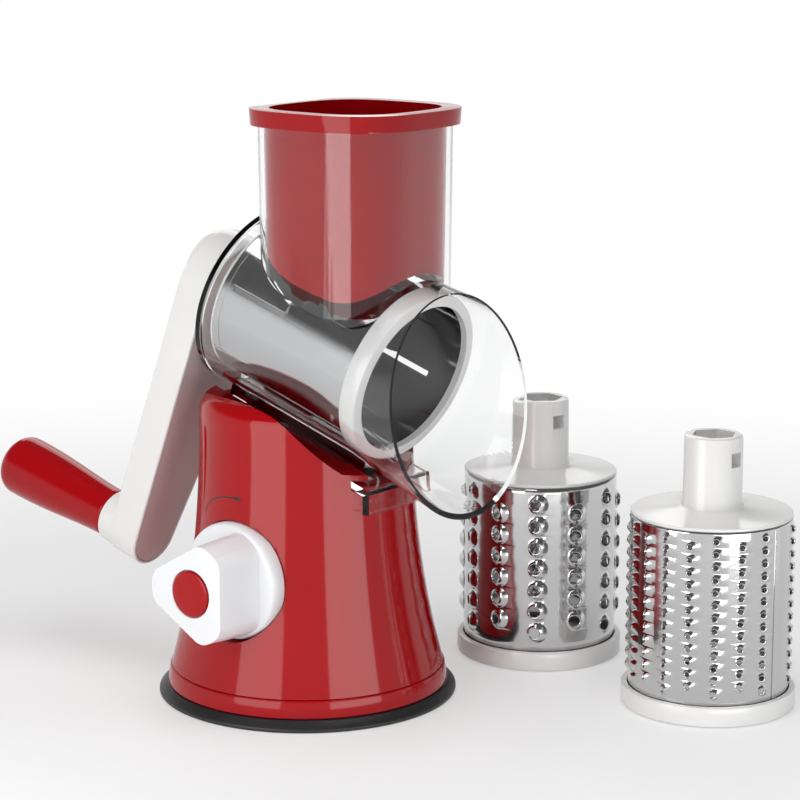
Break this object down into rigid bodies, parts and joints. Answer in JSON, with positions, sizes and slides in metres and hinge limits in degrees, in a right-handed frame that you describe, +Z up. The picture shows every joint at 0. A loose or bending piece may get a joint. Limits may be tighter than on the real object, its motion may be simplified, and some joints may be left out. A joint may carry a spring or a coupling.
{
  "type": "rotary vegetable grater",
  "caption": "Hand cranked rotary vegetable grater: suction base, clear drum housing with chute and pusher, crank, and spare drums standing beside it.",
  "frame": {"origin": "centre of the underside of the suction pad, on the table", "axes": "+Z up, the outlet faces -Y, the crank is at +Y, the suction knob at -X, the spare drums at +X"},
  "size_m": [0.2211, 0.3479, 0.2555],
  "materials": {
    "red_plastic": "polished, saturated red",
    "white_plastic": "satin, slightly warm white",
    "warm_grey_plastic": "satin, warm grey",
    "black_rubber": "smooth",
    "clear_plastic": "clear and polished",
    "polished_steel": "bright rolled sheet and plated steel"
  },
  "bodies": {
    "base": {"base_body": "red_plastic", "base_ring": "red_plastic", "suction_pad": "black_rubber", "base_screw_a": "polished_steel", "base_screw_b": "polished_steel", "base_screw_c": "polished_steel", "clear_housing": "clear_plastic"},
    "knob": {"suction_knob": "white_plastic", "knob_cap": "red_plastic", "knob_screw": "polished_steel", "cam_shaft": "white_plastic"},
    "stem": {"pad_stem": "white_plastic"},
    "pusher": {"food_pusher": "red_plastic"},
    "crank": {"crank_arm": "white_plastic", "arm_cover": "warm_grey_plastic", "grip_pin": "polished_steel"},
    "grip": {"crank_grip": "red_plastic", "grip_cap": "red_plastic"},
    "slicer_drum": {"slicer_drum_shell": "polished_steel", "slicer_drum_ring": "white_plastic", "slicer_drum_hub": "white_plastic"},
    "coarse_drum": {"coarse_drum_shell": "polished_steel", "coarse_drum_ring": "white_plastic", "coarse_drum_hub": "white_plastic"},
    "fine_drum": {"fine_drum_shell": "polished_steel", "fine_drum_ring": "white_plastic", "fine_drum_hub": "white_plastic"}
  },
  "joints": [
    {"name": "crank_turn", "type": "hinge", "parent": "base", "child": "crank", "pos_m": [0, 0, 0.1645], "axis": [0, -0.95, -0.3123], "continuous": true},
    {"name": "grip_turn", "type": "hinge", "parent": "crank", "child": "grip", "pos_m": [-0.01948, 0.08762, 0.06386], "axis": [0.0104, -0.9683, -0.2495], "continuous": true},
    {"name": "slicer_drum_slide", "type": "slide", "parent": "crank", "child": "slicer_drum", "axis": [0, -0.95, -0.3123], "range_m": [0, 0.11]},
    {"name": "pusher_slide", "type": "slide", "parent": "base", "child": "pusher", "axis": [0, 0, 1], "range_m": [0, 0.11]},
    {"name": "knob_turn", "type": "hinge", "parent": "base", "child": "knob", "pos_m": [-0.06, 0, 0.0584], "axis": [1, 0, 0], "range_deg": [0, 90]},
    {"name": "stem_lift", "type": "slide", "parent": "base", "child": "stem", "axis": [0, 0, 1], "range_m": [0, 0.003]},
    {"name": "coarse_drum_lift", "type": "slide", "parent": "base", "child": "coarse_drum", "axis": [0, 0, 1], "range_m": [0, 0.1]},
    {"name": "fine_drum_lift", "type": "slide", "parent": "base", "child": "fine_drum", "axis": [0, 0, 1], "range_m": [0, 0.1]}
  ],
  "couplings": [
    {"joint": "knob_turn", "follows": "stem_lift", "rad_per_m": 523.6}
  ]
}
